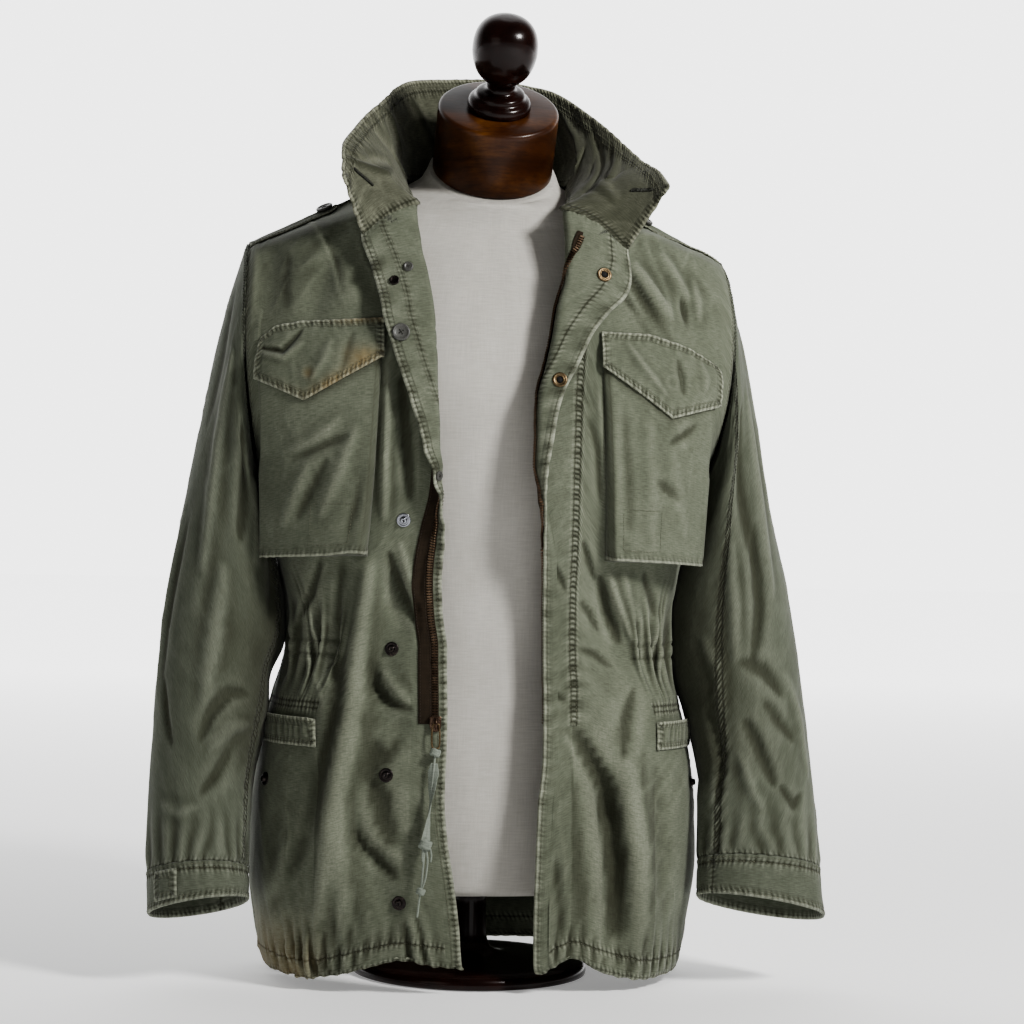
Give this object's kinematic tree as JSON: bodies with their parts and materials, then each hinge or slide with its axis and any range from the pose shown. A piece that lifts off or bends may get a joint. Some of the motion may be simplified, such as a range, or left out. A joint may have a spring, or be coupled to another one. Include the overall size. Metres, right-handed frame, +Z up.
{
  "type": "field jacket on a dress form",
  "caption": "Open hip-length olive field jacket with flapped chest pockets, shoulder straps and turned-up collar, worn by a limbless linen dress form with a turned wooden neck.",
  "frame": {"origin": "centre of the stand's flat underside, on the floor", "axes": "+Z up through the stand; -Y out of the jacket's front; +X to the wearer's left"},
  "size_m": [0.6615, 0.2952, 0.9437],
  "materials": {
    "aged_brass": "aged, satin",
    "block_wood": "stained and waxed, satin",
    "button_plastic": "dark green, satin",
    "dark_snap": "black enamel worn to brass, satin",
    "finial_wood": "black lacquer, gloss",
    "form_linen": "plain linen cover, matt",
    "olive_cloth": "faded cotton sateen, matt",
    "pull_cord": "grey-green waxed tape, matt",
    "zip_tape": "brown herringbone tape, matt"
  },
  "bodies": {
    "jacket": {"back": "olive_cloth", "chest_flap_left": "olive_cloth", "chest_flap_right": "olive_cloth", "chest_pocket_left": "olive_cloth", "chest_pocket_right": "olive_cloth", "collar": "olive_cloth", "cuff_left": "olive_cloth", "cuff_right": "olive_cloth", "cuff_tab_left": "olive_cloth", "cuff_tab_right": "olive_cloth", "epaulette_button_left": "button_plastic", "epaulette_button_right": "button_plastic", "epaulette_left": "olive_cloth", "epaulette_right": "olive_cloth", "finial": "finial_wood", "flap_socket_lower": "aged_brass", "flap_socket_upper": "aged_brass", "form_stand": "finial_wood", "form_torso": "form_linen", "front_left": "olive_cloth", "front_right": "olive_cloth", "front_stud_1": "dark_snap", "front_stud_2": "dark_snap", "front_stud_3": "dark_snap", "front_stud_4": "dark_snap", "liner_button_lower": "button_plastic", "liner_button_upper": "button_plastic", "lower_pocket_band_left": "olive_cloth", "lower_pocket_band_right": "olive_cloth", "neck_block": "block_wood", "neck_button": "button_plastic", "neck_eyelet": "dark_snap", "pocket_stud_left": "dark_snap", "pocket_stud_right": "dark_snap", "sleeve_left": "olive_cloth", "sleeve_right": "olive_cloth", "storm_flap": "olive_cloth", "zip_slider": "aged_brass", "zip_tape_left": "zip_tape", "zip_tape_right": "zip_tape"},
    "zip_pull": {"zip_pull": "aged_brass", "pull_cord": "pull_cord"}
  },
  "joints": [
    {"name": "zip_pull_hinge", "type": "hinge", "parent": "jacket", "child": "zip_pull", "pos_m": [-0.05472, -0.14365, 0.25716], "axis": [-1, 0, 0], "range_deg": [0, 150]}
  ]
}
